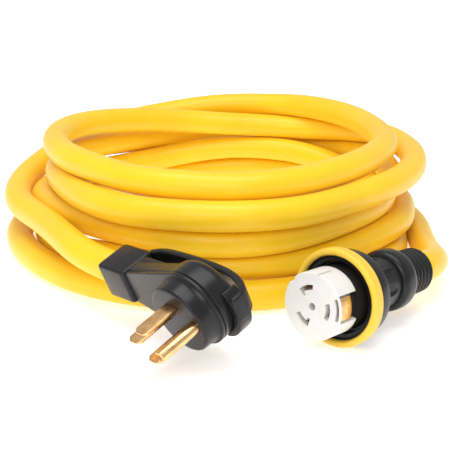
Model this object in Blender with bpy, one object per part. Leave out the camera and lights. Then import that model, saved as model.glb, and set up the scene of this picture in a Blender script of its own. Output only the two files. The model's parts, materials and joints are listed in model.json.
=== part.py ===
"""Shore power cord for a camper: a coiled heavy cable with an angled blade plug at one end
and a round locking connector at the other. Lengths below are in millimetres and become
metres where a mesh is made. Each of the two ends is modelled in its own axes and placed
by an empty, and the coil lies on the ground at z = 0."""

from math import asin, atan2, cos, hypot, pi, radians, sin, tau

import bmesh
import bpy
from mathutils import Matrix, Vector

MM = 0.001
GAP = 0.3

# The coil.
CORD_R = 13.0
COIL_CENTRE = Vector((-36.195, 283.41, 0.0))
TURN_RADII = (205.0, 201.0, 194.0, 184.0, 165.0)
STACK_SHIFT = (-5.0, 3.0, 0.0)
TURN_RISE = 22.8
COIL_INNER_R = 150.0

# Where the two ends lie, measured from the middle of the coil.
PLUG_AT = Vector((-33.5, -333.7, 39.3))
PRONG_DIRECTION = Vector((-0.68, -0.62, -0.39))
PLUG_LENGTHWISE = Vector((0.66, -0.75, 0.05))
CONNECTOR_AT = Vector((64.1, -308.6, 40.40))
CONNECTOR_YAW = radians(42.5)
CONNECTOR_TILT = radians(2.9)

# The plug: x runs from the cable to the far end, z the way the prongs point.
FACE_R = 27.5
RIM_R = 31.0
RIM_Z = -17.0
PLUG_BACK_Z = -38.0
BLOCK_X = (-109.0, -74.0)
BLOCK_Z = (-43.0, -11.0)
BLOCK_HALF_Y = 15.0
CABLE_Z = -27.0
SHELL_TOP_Z = -13.5
BLADE = (13.4, 2.4)
BLADE_LENGTH = 32.0
GROUND_LENGTH = 35.0
BLADE_TAIL = 20.0
HOT_Y = 12.9
NEUTRAL_X = -15.5
GROUND_X = 19.5
GROUND_R = 4.3
GROUND_BACK = 3.2
GROUND_WALL = 1.7
HANDLE_HALF_Y = 10.0
HANDLE_THICK = 6.0
FOOT_SPREAD = (radians(-62), radians(26))
FOOT_Z = (-37.0, -24.5)

# The connector: z points out of its nose, and the nose's face is at z = 0.
NOSE_R = 26.1
NOSE_LENGTH = 22.0
CORE_FRONT_Z = -22.3
SLOT_R = 14.5
SLOT_WIDTH = 4.0
SLOT_ANGLES = (radians(116), radians(236), radians(356))
SLOT_HALF_ARC = radians(25)
RING_R = 38.6
RING_BORE_R = 33.1
RING_Z = (-37.4, -27.0)
FLANGE_R = 34.4
NECK_R = 21.0
COLLAR_R = 25.4
RELIEF_R = 19.6
RELIEF_Z = (-141.0, -110.0)
CONDUCTOR_R = 2.4
CONTACT_Z = (-20.5, -6.5)
CONTACT_WIRE_R = 13.6
# The cable's way from the connector to the side of the coil, from the coil's centre.
CONNECTOR_TAIL = (
    (171.8, -189.5, 31.0),
    (180.5, -170.0, 28.0),
    (186.3, -150.0, 25.5),
)


def clear_scene():
    for obj in list(bpy.data.objects):
        bpy.data.objects.remove(obj, do_unlink=True)


def paint(name, colour, roughness, metallic=0.0):
    material = bpy.data.materials.new(name)
    material.use_nodes = True
    shader = material.node_tree.nodes["Principled BSDF"]
    shader.inputs["Base Color"].default_value = (*colour, 1.0)
    shader.inputs["Roughness"].default_value = roughness
    shader.inputs["Metallic"].default_value = metallic
    return material


# ---------------------------------------------------------------- making meshes


def add_object(name, bm, material, parent):
    bmesh.ops.remove_doubles(bm, verts=bm.verts, dist=1e-7)
    bmesh.ops.recalc_face_normals(bm, faces=bm.faces)
    mesh = bpy.data.meshes.new(name)
    bm.to_mesh(mesh)
    bm.free()
    mesh.materials.append(material)
    obj = bpy.data.objects.new(name, mesh)
    obj.parent = parent
    bpy.context.scene.collection.objects.link(obj)
    return obj


def smooth(obj, angle=35):
    obj.data.shade_smooth()
    obj.data.set_sharp_from_angle(angle=radians(angle))
    return obj


def turn_profile(bm, profile, segments, closed):
    """Spins (radius, z) points about the z axis. A closed profile makes a ring."""
    points = [bm.verts.new((r * MM, 0, z * MM)) for r, z in profile]
    pairs = list(zip(points, points[1:]))
    if closed:
        pairs.append((points[-1], points[0]))
    edges = [bm.edges.new(pair) for pair in pairs]
    bmesh.ops.spin(
        bm, geom=points + edges, axis=(0, 0, 1), cent=(0, 0, 0), steps=segments, angle=tau, use_merge=True
    )


def turned(name, profile, material, parent, segments=48, closed=True):
    bm = bmesh.new()
    turn_profile(bm, profile, segments, closed)
    return smooth(add_object(name, bm, material, parent))


def extrude_outline(bm, outline, low, high, place=None):
    """Extrudes an outline of (x, y) points from z = low to z = high, then moves it by place."""
    corners = [bm.verts.new((x * MM, y * MM, low * MM)) for x, y in outline]
    face = bm.faces.new(corners)
    made = bmesh.ops.extrude_face_region(bm, geom=[face])["geom"]
    top = [part for part in made if isinstance(part, bmesh.types.BMVert)]
    bmesh.ops.translate(bm, verts=top, vec=(0, 0, (high - low) * MM))
    if place is not None:
        bmesh.ops.transform(bm, verts=corners + top, matrix=place)


def prism(name, outline, low, high, material, parent, place=None):
    bm = bmesh.new()
    extrude_outline(bm, outline, low, high, place)
    return smooth(add_object(name, bm, material, parent))


def rectangle(x_low, x_high, y_low, y_high):
    return [(x_low, y_low), (x_high, y_low), (x_high, y_high), (x_low, y_high)]


def circle(radius, count=16, x=0.0, y=0.0):
    return [(x + radius * cos(tau * i / count), y + radius * sin(tau * i / count)) for i in range(count)]


def arc_band(r_low, r_high, middle, half_arc, steps=8):
    """The outline of a curved band about the origin."""
    angles = [middle - half_arc + 2 * half_arc * i / steps for i in range(steps + 1)]
    outer = [(r_high * cos(a), r_high * sin(a)) for a in angles]
    inner = [(r_low * cos(a), r_low * sin(a)) for a in reversed(angles)]
    return outer + inner


def bevelled(obj, width, segments=2):
    modifier = obj.modifiers.new("edges", "BEVEL")
    modifier.width = width * MM
    modifier.segments = segments
    modifier.limit_method = "ANGLE"
    modifier.angle_limit = radians(40)
    return obj


def combine(obj, other, operation):
    """Cuts other out of obj, or joins it on. The other solid stays behind as a hidden guide."""
    other.hide_render = True
    other.display_type = "WIRE"
    modifier = obj.modifiers.new(operation.lower() + " " + other.name, "BOOLEAN")
    modifier.operation = operation
    modifier.object = other
    return obj


def cut(obj, outlines, low, high, material, place=None, label="cutter"):
    """Cuts prisms that don't touch each other out of obj."""
    bm = bmesh.new()
    for outline in outlines:
        extrude_outline(bm, outline, low, high, place)
    cutter = add_object(f"{label}_for_{obj.name}", bm, material, obj.parent)
    return combine(obj, cutter, "DIFFERENCE")


def smooth_route(points, spacing):
    """Evenly spaced points along a Catmull-Rom curve through the given ones."""
    padded = [2 * points[0] - points[1], *points, 2 * points[-1] - points[-2]]
    fine = []
    steps = 24
    for a, b, c, d in zip(padded, padded[1:], padded[2:], padded[3:]):
        for i in range(steps):
            t = i / steps
            fine.append(
                0.5 * (2 * b + (c - a) * t + (2 * a - 5 * b + 4 * c - d) * t**2 + (3 * b - a - 3 * c + d) * t**3)
            )
    fine.append(points[-1])
    lengths = [0.0]
    for a, b in zip(fine, fine[1:]):
        lengths.append(lengths[-1] + (b - a).length)
    count = max(2, round(lengths[-1] / spacing))
    route = []
    place = 0
    for i in range(count + 1):
        target = lengths[-1] * i / count
        while place < len(lengths) - 2 and lengths[place + 1] < target:
            place += 1
        span = max(lengths[place + 1] - lengths[place], 1e-9)
        route.append(fine[place].lerp(fine[place + 1], (target - lengths[place]) / span))
    return route


def tube(name, points, radius, material, parent, spacing):
    """A round cord along a smooth route."""
    curve = bpy.data.curves.new(name, "CURVE")
    curve.dimensions = "3D"
    curve.bevel_depth = radius * MM
    curve.bevel_resolution = 2
    curve.use_fill_caps = True
    route = smooth_route([Vector(point) for point in points], spacing)
    spline = curve.splines.new("POLY")
    spline.points.add(len(route) - 1)
    for point, place in zip(spline.points, route):
        point.co = (*(place * MM), 1.0)
    curve.materials.append(material)
    obj = bpy.data.objects.new(name, curve)
    obj.parent = parent
    bpy.context.scene.collection.objects.link(obj)
    return obj


def empty(name, matrix, parent=None):
    obj = bpy.data.objects.new(name, None)
    obj.empty_display_size = 0.03
    obj.parent = parent
    obj.matrix_local = matrix
    bpy.context.scene.collection.objects.link(obj)
    return obj


def screw(name, head_r, shank_r, length, place, material, parent):
    """A pan-head screw with its head's top at the place's origin and its shank along -z."""
    head = 2.2
    profile = [
        (0, 0),
        (head_r - 0.6, 0),
        (head_r, -0.7),
        (head_r, -head),
        (shank_r, -head),
        (shank_r, -length),
        (0, -length),
    ]
    obj = turned(name, profile, material, parent, segments=12, closed=False)
    obj.matrix_local = place
    slot = rectangle(-2 * head_r, 2 * head_r, -0.5, 0.5)
    bm = bmesh.new()
    extrude_outline(bm, slot, -1.1, 1.0)
    cutter = add_object("slot_for_" + name, bm, material, parent)
    cutter.matrix_local = place
    return combine(obj, cutter, "DIFFERENCE")


def at(x, y, z, turn=None):
    """A place in an end's own axes, with a turn of the piece first."""
    matrix = Matrix.Translation(Vector((x, y, z)) * MM)
    return matrix @ turn if turn is not None else matrix


# ---------------------------------------------------------------- the plug


def plug_axes():
    """Rotation whose z is the prongs' direction and whose x runs along the plug."""
    z = PRONG_DIRECTION.normalized()
    x = (PLUG_LENGTHWISE - PLUG_LENGTHWISE.dot(z) * z).normalized()
    return Matrix((x, z.cross(x), z)).transposed().to_4x4()


def blade_outlines(clearance):
    """Where the two hot blades, the neutral blade and the ground pin go through a wall."""
    half_w = BLADE[0] / 2 + clearance
    half_t = BLADE[1] / 2 + clearance
    blades = [
        rectangle(x - half_w, x + half_w, y - half_t, y + half_t)
        for x, y in ((0, HOT_Y), (0, -HOT_Y), (NEUTRAL_X, 0))
    ]
    return [*blades, ground_outline(clearance)]


def ground_outline(clearance):
    """The ground pin's outside: half round towards the far end, square towards the blades."""
    radius = GROUND_R + clearance
    angles = [-pi / 2 + pi * i / 10 for i in range(11)]
    back = GROUND_X - GROUND_BACK - clearance
    return [(back, -radius), *((GROUND_X + radius * cos(a), radius * sin(a)) for a in angles), (back, radius)]


def teardrop(start, steps=32):
    """The outline of the neck and the drum together, from the block's end at x = start."""
    half = BLOCK_HALF_Y - 0.9
    turn = pi / 2 + asin(RIM_R / hypot(start, half)) - atan2(half, -start)
    arc = [turn * (1 - 2 * i / steps) for i in range(steps + 1)]
    return [(start, -half), (start, half), *((RIM_R * cos(a), RIM_R * sin(a)) for a in arc)]


def make_front_body(mat, frame):
    """A round boss, which the prongs stand out of, on a shell that covers the neck and the drum."""
    wall = 3.2
    profile = [
        (0, 0),
        (FACE_R - 1.6, 0),
        (FACE_R, -1.4),
        (FACE_R + 0.6, -9.0),
        (FACE_R + 1.5, -12.6),
        (FACE_R + 1.9, -15.0),
        (0, -15.0),
    ]
    body = turned("plug_front_body", profile, mat, frame, closed=False)
    shell = bevelled(prism("shell_guide", teardrop(BLOCK_X[1] + GAP), RIM_Z, SHELL_TOP_Z, mat, frame), 0.9)
    combine(body, shell, "UNION")
    cut(body, [circle(FACE_R - wall, 40)], RIM_Z - 1, -6, mat, label="hollow")
    return cut(body, blade_outlines(0.25), -8, 2, mat)


def make_rear_housing(mat, frame):
    """The drum behind the rim, the neck and the block that the cable comes into."""
    front = RIM_Z - GAP
    drum = [
        (0, front),
        (RIM_R, front),
        (RIM_R, PLUG_BACK_Z + 10),
        (RIM_R - 1.4, PLUG_BACK_Z + 6),
        (RIM_R - 4, PLUG_BACK_Z + 2.4),
        (RIM_R - 8, PLUG_BACK_Z),
        (0, PLUG_BACK_Z),
    ]
    housing = turned("plug_rear_housing", drum, mat, frame, closed=False)
    x_low, x_high = BLOCK_X
    z_low, z_high = BLOCK_Z
    upright = Matrix.Rotation(radians(90), 4, "X")
    half = BLOCK_HALF_Y
    neck_x = x_high - 6
    neck_outline = rectangle(neck_x, -18, PLUG_BACK_Z + 0.7, front - 0.7)
    neck = bevelled(prism("neck_guide", neck_outline, 0.6 - half, half - 0.6, mat, frame, upright), 2)
    combine(housing, neck, "UNION")
    # Two cheeks spread from the block to the drum's sides.
    reach = hypot(x_high, half)
    slope = asin(RIM_R / reach) - atan2(half, -x_high)
    touch_x, touch_y = -RIM_R * sin(slope), RIM_R * cos(slope) - 0.3
    cheeks = [(neck_x, side_y * (half - 0.9)) for side_y in (-1, 1)]
    cheeks += [(x_high, half - 0.9), (touch_x, touch_y), (touch_x, -touch_y), (x_high, 0.9 - half)]
    cheek = bevelled(prism("cheek_guide", cheeks, PLUG_BACK_Z + 10.5, front - 0.3, mat, frame), 0.9)
    combine(housing, cheek, "UNION")
    block_outline = [
        (x_low, z_low + 5),
        (x_low + 5, z_low),
        (x_high - 4, z_low),
        (x_high, z_low + 5),
        (x_high, z_high),
        (x_low + 4, z_high),
        (x_low, z_high - 4),
    ]
    block = bevelled(prism("block_guide", block_outline, -half, half, mat, frame, upright), 1.6)
    combine(housing, block, "UNION")
    # The wiring chamber, and the cable's way in from the end face.
    cut(housing, [circle(RIM_R - 5.5, 32)], PLUG_BACK_Z + 4, front + 3, mat, label="chamber")
    along = Matrix.Rotation(radians(90), 4, "Y")
    channel = circle(7.2, 16, -CABLE_Z, 0)
    cut(housing, [channel], x_low + 15, -20, mat, along, "channel")
    bore = circle(CORD_R + 0.3, 28, -CABLE_Z, 0)
    cut(housing, [bore], x_low - 3, x_low + 22, mat, along, "bore")
    return housing


def foot_outline(steps=14):
    """The handle's foot on the drum's side: thick under the strap and thin at both ends."""
    low, high = FOOT_SPREAD
    near = RIM_R + 0.35
    inner, outer = [], []
    for i in range(steps + 1):
        angle = low + (high - low) * i / steps
        far = near + 1.2 + 5.6 * sin(pi * i / steps)
        inner.append((near * cos(angle), near * sin(angle)))
        outer.append((far * cos(angle), far * sin(angle)))
    return inner + outer[::-1]


def make_handle(mat, frame):
    """A strap from the block to the drum's far side, with room for two fingers under it. Its
    foot spreads round the drum."""
    middle = [
        (-84.0, -46.3),
        (-74.0, -51.5),
        (-60.0, -53.5),
        (-22.0, -53.5),
        (8.0, -50.5),
        (23.0, -45.5),
        (31.5, -39.5),
        (34.5, -33.0),
        (34.6, -25.1),
    ]
    route = smooth_route([Vector((x, z, 0)) for x, z in middle], 5)
    outer, inner = [], []
    for i, point in enumerate(route):
        along = (route[min(i + 1, len(route) - 1)] - route[max(i - 1, 0)]).normalized()
        side = Vector((along.y, -along.x, 0)) * HANDLE_THICK / 2
        outer.append(point + side)
        inner.append(point - side)
    outline = [(p.x, p.y) for p in outer + inner[::-1]]
    upright = Matrix.Rotation(radians(90), 4, "X")
    strap = prism("plug_handle", outline, -HANDLE_HALF_Y, HANDLE_HALF_Y, mat, frame, upright)
    return combine(strap, prism("foot_guide", foot_outline(), *FOOT_Z, mat, frame), "UNION")


def make_blade(name, x, y, mat, frame):
    """A flat blade with cut corners at the tip and a narrower tail behind the face."""
    half = BLADE[0] / 2
    tip = BLADE_LENGTH
    outline = [
        (x - 4, -BLADE_TAIL),
        (x + 4, -BLADE_TAIL),
        (x + 4, -12.5),
        (x + half, -12.5),
        (x + half, tip - 3),
        (x + half - 3, tip),
        (x - half + 3, tip),
        (x - half, tip - 3),
        (x - half, -12.5),
        (x - 4, -12.5),
    ]
    upright = at(0, y, 0, Matrix.Rotation(radians(90), 4, "X"))
    blade = prism(name, outline, -BLADE[1] / 2, BLADE[1] / 2, mat, frame, upright)
    return bevelled(blade, 0.35, 1)


def make_ground_pin(mat, frame):
    """A U-shaped pin: half round towards the plug's far end, open on the blades' side."""
    inside = ground_outline(-GROUND_WALL)
    back = GROUND_X - GROUND_BACK
    outline = [*ground_outline(0), (back, inside[-1][1]), *inside[-2:0:-1], (back, inside[0][1])]
    pin = prism("plug_ground_pin", outline, -BLADE_TAIL, GROUND_LENGTH, mat, frame)
    return bevelled(pin, 0.3, 1)


def make_plug(mats, frame):
    black, metal, steel = mats["black_plastic"], mats["brass"], mats["steel"]
    make_front_body(black, frame)
    make_rear_housing(black, frame)
    make_handle(black, frame)
    carrier = turned(
        "plug_blade_carrier",
        [(0, -6.3), (23.5, -6.3), (23.5, -11.5), (0, -11.5)],
        mats["dark_insulator"],
        frame,
        segments=32,
        closed=False,
    )
    cut(carrier, blade_outlines(0.25), -14, -4, black)
    make_blade("plug_hot_x_blade", 0, HOT_Y, metal, frame)
    make_blade("plug_hot_y_blade", 0, -HOT_Y, metal, frame)
    make_blade("plug_neutral_blade", NEUTRAL_X, 0, metal, frame)
    make_ground_pin(metal, frame)
    # A terminal screw through the side of each tail, which clamps the wire to it.
    side = Matrix.Rotation(radians(-90), 4, "X")
    away = Matrix.Rotation(radians(90), 4, "X")
    offset = BLADE[1] / 2 + 2.7
    screw("terminal_screw_hot_x", 3, 1.4, 2.5, at(0, HOT_Y + offset, -16.2, side), steel, frame)
    screw("terminal_screw_hot_y", 3, 1.4, 2.5, at(0, -HOT_Y - offset, -16.2, away), steel, frame)
    screw("terminal_screw_neutral", 3, 1.4, 2.5, at(NEUTRAL_X, offset, -16.2, side), steel, frame)
    screw("terminal_screw_ground", 3, 1.4, 2.5, at(GROUND_X, GROUND_R + 2.8, -16.2, side), steel, frame)
    make_plug_cable_entry(mats, frame)


def make_plug_cable_entry(mats, frame):
    """The rubber bushing in the block and the four insulated wires on to the blades."""
    along = at(0, 0, CABLE_Z, Matrix.Rotation(radians(90), 4, "Y"))
    x_low = BLOCK_X[0]
    rubber = mats["rubber"]
    bushing = turned(
        "plug_cable_bushing",
        [(CORD_R, x_low + 1), (CORD_R, x_low + 21.5), (7.0, x_low + 21.5), (7.0, x_low + 1)],
        rubber,
        frame,
        segments=24,
    )
    bushing.matrix_local = along
    start = x_low + 2
    tail_z = -BLADE_TAIL - CONDUCTOR_R - GAP
    deep, shallow = CABLE_Z - 3.0, CABLE_Z + 3.0
    hot_x = [(-28, 3, deep), (-12, HOT_Y - 4, deep + 1), (0, HOT_Y, tail_z)]
    hot_y = [(x, -y, z) for x, y, z in hot_x]
    neutral = [(-42, 3, shallow), (NEUTRAL_X - 5, 0.8, tail_z)]
    ground = [(-25, -3.1, shallow), (-16, -6.4, shallow), (-8, -6.0, shallow)]
    ground += [(GROUND_X - 6, -1, tail_z), (GROUND_X, 0, tail_z)]
    wires = (
        ("plug_wire_hot_x", "wire_red", (3, deep), hot_x),
        ("plug_wire_hot_y", "wire_black", (-3, deep), hot_y),
        ("plug_wire_neutral", "wire_white", (3, shallow), neutral),
        ("plug_wire_ground", "wire_green", (-3, shallow), ground),
    )
    for name, colour, (y, z), rest in wires:
        tube(name, [(start, y, z), (-60, y, z), *rest], CONDUCTOR_R, mats[colour], frame, 6)


# ---------------------------------------------------------------- the connector


def make_nose(mat, frame):
    """The white insulator: curved slots in its face, a contact pocket behind each one."""
    profile = [(0, 0), (NOSE_R - 0.8, 0), (NOSE_R, -0.8), (NOSE_R, -NOSE_LENGTH), (0, -NOSE_LENGTH)]
    nose = turned("connector_nose", profile, mat, frame, segments=40, closed=False)
    half = SLOT_WIDTH / 2
    slots = [arc_band(SLOT_R - half, SLOT_R + half, angle, SLOT_HALF_ARC) for angle in SLOT_ANGLES]
    cut(nose, slots, -8, 2, mat, label="slots")
    pockets = [arc_band(10.6, 18.4, angle, SLOT_HALF_ARC + radians(4)) for angle in SLOT_ANGLES]
    cut(nose, pockets, -NOSE_LENGTH - 2, -6, mat, label="pockets")
    hooks = []
    for angle, end in ((SLOT_ANGLES[0], 1), (SLOT_ANGLES[1], 1)):
        turn = angle + end * (SLOT_HALF_ARC - radians(5))
        hooks.append(arc_band(SLOT_R - 4.6, SLOT_R - half + 0.4, turn, radians(6), 2))
    cut(nose, hooks, -8, 2, mat, label="hooks")
    cut(nose, [circle(3.0, 20)], -NOSE_LENGTH - 2, 2, mat, label="pilot")
    notch = arc_band(20.4, NOSE_R + 3, radians(6), radians(24), 6)
    cut(nose, [notch], -NOSE_LENGTH - 2, -1.6, mat, label="notch")
    face_notch = arc_band(21.8, 24.7, radians(6), radians(21), 6)
    cut(nose, [face_notch], -4, 2, mat, label="face_notch")
    key = arc_band(NOSE_R - 1.6, NOSE_R + 3, radians(140), radians(7), 2)
    small_key = arc_band(NOSE_R - 1.4, NOSE_R + 3, radians(80), radians(3), 2)
    return cut(nose, [key, small_key], -16, 2, mat, label="keys")


def make_core(mat, frame):
    """The black carrier behind the nose, with a tongue that fills the back of the nose's notch."""
    front, back, radius = CORE_FRONT_Z, -50.5, NOSE_R - 0.5
    profile = [(0, front), (radius, front), (radius, back), (0, back)]
    core = turned("connector_core", profile, mat, frame, segments=40, closed=False)
    tongue = prism("tongue_guide", arc_band(20.8, 23.4, radians(6), radians(20), 6), front - 2, -15.5, mat, frame)
    combine(core, tongue, "UNION")
    places = [(CONTACT_WIRE_R * cos(a), CONTACT_WIRE_R * sin(a)) for a in SLOT_ANGLES]
    holes = [circle(CONDUCTOR_R + 0.7, 12, x, y) for x, y in [*places, (0, 0)]]
    return cut(core, holes, back - 2, front + 2, mat, label="wire_holes")


def make_contacts(mats, frame):
    names = ("connector_neutral_contact", "connector_hot_y_contact", "connector_hot_x_contact")
    brass = mats["brass"]
    for name, angle in zip(names, SLOT_ANGLES):
        band = arc_band(11.0, 18.0, angle, SLOT_HALF_ARC + radians(2))
        contact = prism(name, band, CONTACT_Z[0], CONTACT_Z[1], brass, frame)
        mouth = arc_band(SLOT_R - 1.7, SLOT_R + 1.7, angle, SLOT_HALF_ARC + radians(8))
        cut(contact, [mouth], CONTACT_Z[0] + 3, 0, brass)
    strap = arc_band(23.7, 25.0, radians(6), radians(20), 6)
    prism("connector_ground_contact", strap, -15.0, -2.6, brass, frame)


def make_housing(mat, frame):
    """Flange and neck in one moulding, with finger flutes round the neck."""
    profile = [
        (FLANGE_R - 1.2, -38.0),
        (FLANGE_R, -39.2),
        (FLANGE_R, -51.0),
        (FLANGE_R - 1.6, -53.8),
        (NECK_R + 4.5, -55.5),
        (NECK_R + 1.2, -58.5),
        (NECK_R, -64),
        (NECK_R, -88.7),
        (17.2, -88.7),
        (17.2, -55.5),
        (NOSE_R + 0.3, -51),
        (NOSE_R + 0.3, -38.0),
    ]
    housing = turned("connector_housing", profile, mat, frame, segments=40)
    flutes = [circle(5.0, 12, (NECK_R + 3.0) * cos(tau * i / 8), (NECK_R + 3.0) * sin(tau * i / 8)) for i in range(8)]
    return cut(housing, flutes, -85, -61, mat, label="flutes")


def make_relief(mat, frame):
    """The ribbed rubber sleeve that the cable comes out of."""
    rear, front = RELIEF_Z
    ribs = 5
    pitch = (front - 4 - rear) / ribs
    outer = []
    for i in range(ribs):
        top = front - 4 - i * pitch
        shrink = 0.15 * i
        outer += [
            (RELIEF_R - 2.2 - shrink, top),
            (RELIEF_R - shrink, top - 1.2),
            (RELIEF_R - shrink, top - pitch + 2.2),
            (RELIEF_R - 2.2 - shrink, top - pitch + 1.0),
        ]
    profile = [(14.2, front), (RELIEF_R - 2.2, front), *outer, (RELIEF_R - 4.6, rear), (13.2, rear), (13.2, front - 3)]
    return turned("connector_strain_relief", profile, mat, frame, segments=28)


def make_connector(mats, frame):
    black, rubber = mats["black_plastic"], mats["rubber"]
    make_nose(mats["white_nylon"], frame)
    make_core(mats["dark_insulator"], frame)
    make_contacts(mats, frame)
    make_housing(black, frame)
    ring_low, ring_high = RING_Z
    ring = [
        (RING_R - 2.2, ring_high),
        (RING_R, ring_high - 2.4),
        (RING_R, ring_low + 1),
        (RING_R - 1, ring_low),
        (RING_BORE_R, ring_low),
        (RING_BORE_R, ring_high - 2.0),
        (RING_BORE_R + 1.4, ring_high),
    ]
    turned("locking_ring", ring, mats["yellow_ring"], frame, segments=48)
    gasket = [
        (RING_BORE_R - GAP, ring_high - 2.6),
        (RING_BORE_R - GAP, ring_low),
        (28.2, ring_low),
        (28.2, ring_low + 2.4),
        (31.9, ring_low + 2.4),
        (31.9, ring_high - 2.6),
    ]
    turned("ring_gasket", gasket, rubber, frame, segments=40)
    collar = [
        (NECK_R - 0.4, -89.0),
        (COLLAR_R - 1.6, -90.5),
        (COLLAR_R, -94.5),
        (COLLAR_R, -101.5),
        (COLLAR_R - 1.8, -107.0),
        (COLLAR_R - 4.6, -109.7),
        (14.5, -109.7),
        (14.5, -89.0),
    ]
    turned("connector_clamp_collar", collar, black, frame, segments=32)
    make_relief(rubber, frame)
    bushing = [(12.8, -112.5), (12.8, -140.0), (8.2, -140.0), (8.2, -112.5)]
    turned("connector_cable_bushing", bushing, rubber, frame, segments=24)
    make_connector_wires(mats, frame)


def make_connector_wires(mats, frame):
    """Three wires spread from the cable to their contacts, and the ground wire runs up the middle."""
    names = ("connector_wire_neutral", "connector_wire_hot_y", "connector_wire_hot_x")
    colours = ("wire_white", "wire_black", "wire_red")
    in_cable = 5.4
    for name, colour, angle in zip(names, colours, SLOT_ANGLES):
        out = Vector((cos(angle), sin(angle), 0))
        stations = ((in_cable, -139.5), (in_cable, -114), (in_cable, -96), (CONTACT_WIRE_R, -60))
        points = [out * radius + Vector((0, 0, z)) for radius, z in stations]
        points += [out * CONTACT_WIRE_R + Vector((0, 0, z)) for z in (-48, -34, CONTACT_Z[0] - GAP)]
        tube(name, points, CONDUCTOR_R, mats[colour], frame, 7)
    ground = [(0, 0, z) for z in (-139.5, -100, -60, CORE_FRONT_Z - 4)]
    tube("connector_wire_ground", ground, CONDUCTOR_R, mats["wire_green"], frame, 25)


# ---------------------------------------------------------------- the cord


def make_coil(mat, frame):
    """The outer shape of the stacked turns, one bulge to each turn."""
    outline = []
    steps = 4
    levels = len(TURN_RADII)
    for level, radius in enumerate(TURN_RADII):
        middle = CORD_R + level * TURN_RISE
        low = -pi / 2 if level == 0 else -radians(55)
        high = pi / 2 if level == levels - 1 else radians(55)
        for i in range(steps + 1):
            angle = low + (high - low) * i / steps
            outline.append((radius + CORD_R * cos(angle), middle + CORD_R * sin(angle)))
    top = 2 * CORD_R + (levels - 1) * TURN_RISE
    inner = [(COIL_INNER_R + 6, top - 1), (COIL_INNER_R, top - 10), (COIL_INNER_R, 10), (COIL_INNER_R + 6, 0)]
    coil = turned("cord_coil", outline + inner, mat, frame, segments=48)
    coil.matrix_local = at(*STACK_SHIFT)
    return coil


def make_tails(mat, frame, plug_frame, connector_frame):
    """The cord's two free stretches, from each end's cable entry to the side of the coil."""
    plug_exit = plug_frame.matrix_basis @ (Vector((BLOCK_X[0] - GAP, 0, CABLE_Z)) * MM) / MM
    plug_back = plug_frame.matrix_basis @ (Vector((BLOCK_X[0] - 24, 0, CABLE_Z)) * MM) / MM
    tube("cord_tail_plug", [plug_exit, plug_exit.lerp(plug_back, 0.5), plug_back], CORD_R, mat, frame, 12)
    leave = connector_frame.matrix_basis @ (Vector((0, 0, RELIEF_Z[0] - GAP)) * MM) / MM
    straight = connector_frame.matrix_basis @ (Vector((0, 0, RELIEF_Z[0] - 8)) * MM) / MM
    points = [leave, straight, *[Vector(point) for point in CONNECTOR_TAIL]]
    tube("cord_tail_connector", points, CORD_R, mat, frame, 10)


def main():
    clear_scene()
    mats = {
        "cord_jacket": paint("cord_jacket", (0.90, 0.50, 0.02), 0.42),
        "yellow_ring": paint("yellow_ring", (0.90, 0.66, 0.05), 0.45),
        "black_plastic": paint("black_plastic", (0.030, 0.030, 0.034), 0.42),
        "dark_insulator": paint("dark_insulator", (0.020, 0.020, 0.022), 0.50),
        "white_nylon": paint("white_nylon", (0.80, 0.78, 0.75), 0.45),
        "rubber": paint("rubber", (0.018, 0.018, 0.020), 0.60),
        "brass": paint("brass", (0.72, 0.45, 0.20), 0.30, 1.0),
        "steel": paint("steel", (0.55, 0.55, 0.55), 0.35, 1.0),
        "wire_red": paint("wire_red", (0.55, 0.03, 0.02), 0.5),
        "wire_black": paint("wire_black", (0.02, 0.02, 0.02), 0.5),
        "wire_white": paint("wire_white", (0.75, 0.75, 0.72), 0.5),
        "wire_green": paint("wire_green", (0.03, 0.30, 0.07), 0.5),
    }
    coil = empty("coil_frame", Matrix.Translation(COIL_CENTRE * MM))
    plug = empty("plug_frame", Matrix.Translation(PLUG_AT * MM) @ plug_axes(), coil)
    turn = Matrix.Rotation(-CONNECTOR_YAW, 4, "Z") @ Matrix.Rotation(radians(90) - CONNECTOR_TILT, 4, "X")
    connector = empty("connector_frame", Matrix.Translation(CONNECTOR_AT * MM) @ turn, coil)
    make_plug(mats, plug)
    make_connector(mats, connector)
    make_coil(mats["cord_jacket"], coil)
    make_tails(mats["cord_jacket"], coil, plug, connector)


main()
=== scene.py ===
"""The looks of a shore power cord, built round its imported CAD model."""

import json
from math import asin, atan2, cos, hypot, pi, radians, sin

import bmesh
import bpy
import numpy as np
from mathutils import Matrix, Vector


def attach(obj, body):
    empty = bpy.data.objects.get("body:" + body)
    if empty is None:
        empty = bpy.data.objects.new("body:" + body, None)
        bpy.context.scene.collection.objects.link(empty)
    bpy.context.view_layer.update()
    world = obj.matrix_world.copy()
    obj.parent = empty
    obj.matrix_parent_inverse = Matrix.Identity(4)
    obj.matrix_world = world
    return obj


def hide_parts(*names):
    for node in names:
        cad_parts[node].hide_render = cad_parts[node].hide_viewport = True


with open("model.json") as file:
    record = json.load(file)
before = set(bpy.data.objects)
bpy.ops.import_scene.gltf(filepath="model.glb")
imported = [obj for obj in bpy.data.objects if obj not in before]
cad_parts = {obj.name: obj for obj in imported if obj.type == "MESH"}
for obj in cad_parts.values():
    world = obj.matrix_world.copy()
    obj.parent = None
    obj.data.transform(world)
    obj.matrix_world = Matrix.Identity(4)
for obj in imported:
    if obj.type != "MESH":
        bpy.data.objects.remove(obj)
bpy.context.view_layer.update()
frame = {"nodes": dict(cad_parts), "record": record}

# Lengths are in millimetres, and MM turns them into metres. The camera, the textures, the floor and the lights
# are in metres.
MM = 0.001
# The play between neighbouring pieces.
GAP = 0.3
CORD_R = 13.0
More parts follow.
